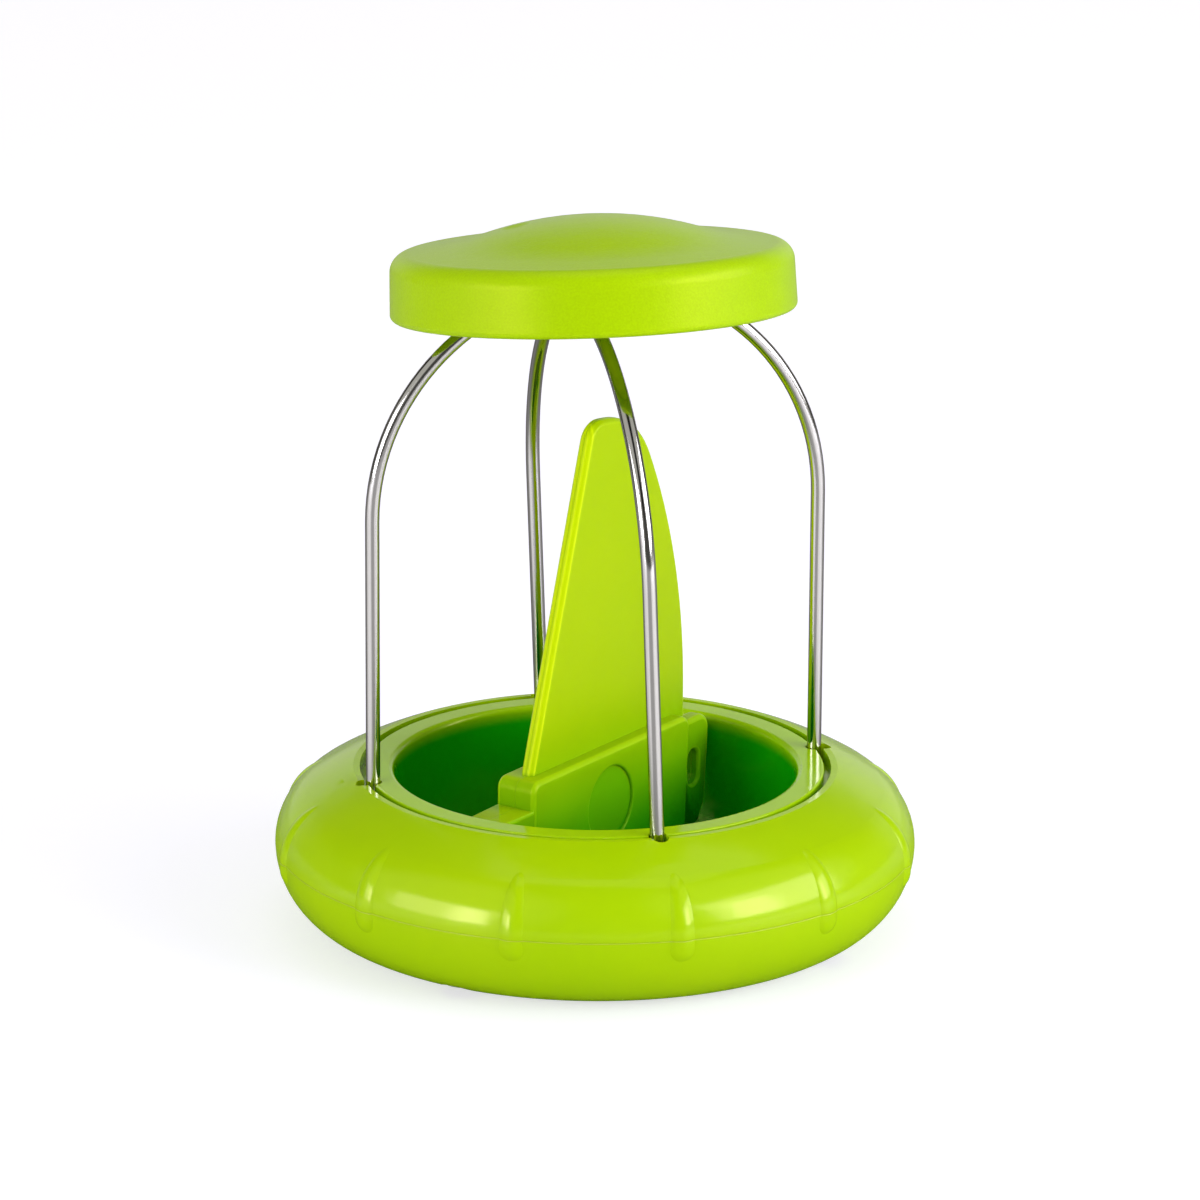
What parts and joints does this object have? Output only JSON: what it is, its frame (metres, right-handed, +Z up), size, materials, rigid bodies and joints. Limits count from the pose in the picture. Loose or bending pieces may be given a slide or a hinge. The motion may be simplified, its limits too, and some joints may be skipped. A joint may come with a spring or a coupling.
{
  "type": "kiwi slicer",
  "caption": "Kiwi slicer: ribbed grip ring carrying two crossing wire arches, a plastic knife stored upright in the ring's hole and a domed cap on the crown of the arches.",
  "frame": {"origin": "on the table, at the middle of the ring's foot", "axes": "+Z up along the ring's axis; the upper wire arch stands on the X axis and the lower one on the Y axis"},
  "size_m": [0.0908, 0.0908, 0.1017],
  "materials": {
    "ring_plastic": "gloss",
    "collar_plastic": "gloss",
    "knife_plastic": "gloss",
    "cap_plastic": "satin",
    "wire_steel": "polished",
    "screw_steel": "satin"
  },
  "bodies": {
    "ring": {"upper_shell": "ring_plastic", "lower_shell": "ring_plastic", "inner_collar": "collar_plastic", "upper_wire_arch": "wire_steel", "lower_wire_arch": "wire_steel", "shell_screws": "screw_steel"},
    "knife_body": {"knife": "knife_plastic"},
    "cap_body": {"cap": "cap_plastic"}
  },
  "joints": [
    {"name": "cap_lift", "type": "slide", "parent": "ring", "child": "cap_body", "axis": [-0.0064, 0.1312, 0.9913], "range_m": [0, 0.03]},
    {"name": "knife_lift", "type": "slide", "parent": "ring", "child": "knife_body", "axis": [0, 0, 1], "range_m": [0, 0.014]}
  ]
}
